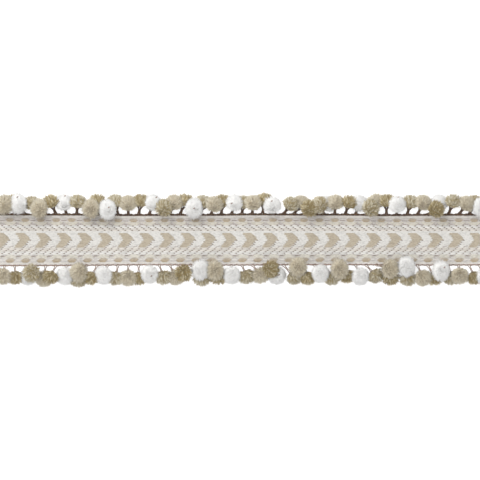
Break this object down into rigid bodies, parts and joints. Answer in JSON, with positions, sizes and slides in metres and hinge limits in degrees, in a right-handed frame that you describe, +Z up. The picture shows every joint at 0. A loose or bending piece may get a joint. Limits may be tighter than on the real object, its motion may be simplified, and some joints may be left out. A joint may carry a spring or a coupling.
{
  "type": "pom-pom trim, a cut length of woven tape with pompoms along both edges",
  "caption": "Flat cut length of woven chevron tape with cut-pile pompoms on short yarn stems crowded along both edges.",
  "frame": {"origin": "on the tape's flat back, under the middle of the tape", "axes": "+X along the tape, the way its chevrons point; +Y across the tape to the upper fringe; +Z up, out of the tape's face"},
  "size_m": [0.4087, 0.0756, 0.0204],
  "materials": {
    "tape": "jacquard tape of ivory, beige and tan cotton",
    "brown_yarn": "dark brown twisted yarn of the bindings and stems",
    "white_yarn": "matt cut pile",
    "marl_yarn": "matt cut pile of cream and olive threads",
    "greige_yarn": "fine velvety cut pile",
    "khaki_yarn": "matt cut pile in clefts"
  },
  "bodies": {
    "root": {"woven_tape": "tape", "fringe_upper": "greige_yarn", "fringe_lower": "greige_yarn"}
  },
  "joints": []
}
